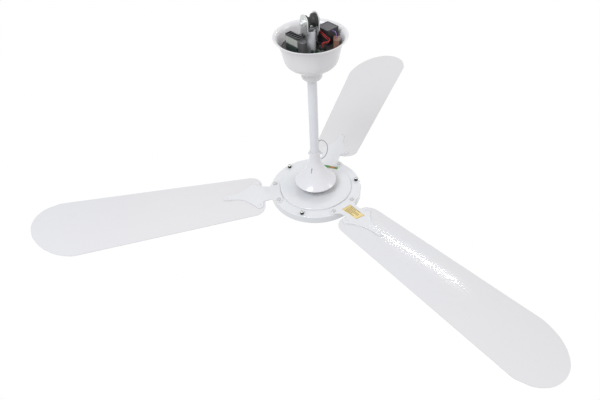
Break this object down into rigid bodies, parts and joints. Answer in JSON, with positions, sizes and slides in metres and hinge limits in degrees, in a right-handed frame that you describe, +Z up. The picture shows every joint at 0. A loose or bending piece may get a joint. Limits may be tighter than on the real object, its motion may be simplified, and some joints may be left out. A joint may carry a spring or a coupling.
{
  "type": "ceiling fan",
  "caption": "White ceiling fan with long pressed blades, short down-rod, open canopy bowl and rubber hanger reel.",
  "frame": {"origin": "centre of the rubber hanger reel, on the down-rod's axis", "axes": "+Z up along the down-rod; +X along the hanger reel's bolt"},
  "size_m": [1.2225, 1.1535, 0.531],
  "materials": {
    "zinc": "satin",
    "black_steel": "satin",
    "bright_bolt": "gloss",
    "steel": "satin",
    "copper": "satin",
    "rubber": "matte",
    "white_paint": "gloss",
    "white_plastic": "gloss",
    "black_plastic": "matte",
    "grey_plastic": "matte",
    "label_white": "matte",
    "brown_plastic": "gloss",
    "board_green": "matte",
    "red_wire": "matte",
    "purple_wire": "matte",
    "grey_wire": "matte"
  },
  "bodies": {
    "hanger": {"shackle": "zinc", "down_rod": "white_paint", "reel_bolt": "zinc", "reel_nut": "zinc", "reel_washers": "zinc", "tie_bolt": "black_steel", "tie_nut": "black_steel", "coupling_bolt": "zinc", "coupling_nut": "zinc", "coupling_split_pin": "zinc", "motor_shaft": "steel", "shaft_circlip": "zinc", "stator_core": "steel", "stator_windings": "copper", "upper_bearing_inner_ring": "steel", "lower_bearing_inner_ring": "steel"},
    "reel_body": {"reel": "rubber"},
    "rotor": {"motor_top_cover": "white_paint", "motor_bottom_cover": "white_paint", "motor_bottom_cap": "white_plastic", "rotor_ring": "steel", "rotor_magnets": "steel", "upper_bearing_outer_ring": "steel", "lower_bearing_outer_ring": "steel", "upper_bearing_balls": "steel", "lower_bearing_balls": "steel", "blade_1": "white_paint", "blade_2": "white_paint", "blade_3": "white_paint", "blade_iron_1": "white_paint", "blade_iron_2": "white_paint", "blade_iron_3": "white_paint", "blade_rivets": "white_paint", "iron_screws": "black_steel", "iron_washers": "zinc", "cover_bolts": "bright_bolt"},
    "canopy_body": {"canopy": "white_plastic", "canopy_collar": "zinc", "canopy_grub_screw": "zinc", "electronics_tray": "black_plastic", "driver_box": "black_plastic", "driver_lid": "black_plastic", "supply_block": "black_plastic", "receiver_module": "grey_plastic", "receiver_frame": "black_plastic", "receiver_can": "zinc", "receiver_label": "label_white", "film_capacitor": "brown_plastic", "circuit_board": "board_green", "board_standoffs": "black_plastic", "board_components": "black_plastic", "terminal_block": "black_plastic", "red_wires": "red_wire", "purple_wire": "purple_wire"},
    "lower_cover_body": {"lower_cover": "white_plastic", "lower_cover_screws": "black_steel", "loop_wire": "grey_wire"}
  },
  "joints": [
    {"name": "blade_spin", "type": "hinge", "parent": "hanger", "child": "rotor", "pos_m": [0, 0, -0.44], "axis": [0, 0, 1], "continuous": true},
    {"name": "reel_spin", "type": "hinge", "parent": "hanger", "child": "reel_body", "pos_m": [0, 0, 0], "axis": [1, 0, 0], "continuous": true},
    {"name": "canopy_slide", "type": "slide", "parent": "hanger", "child": "canopy_body", "axis": [0, 0, 1], "range_m": [-0.11, 0]},
    {"name": "lower_cover_slide", "type": "slide", "parent": "hanger", "child": "lower_cover_body", "axis": [0, 0, 1], "range_m": [0, 0.055]}
  ]
}
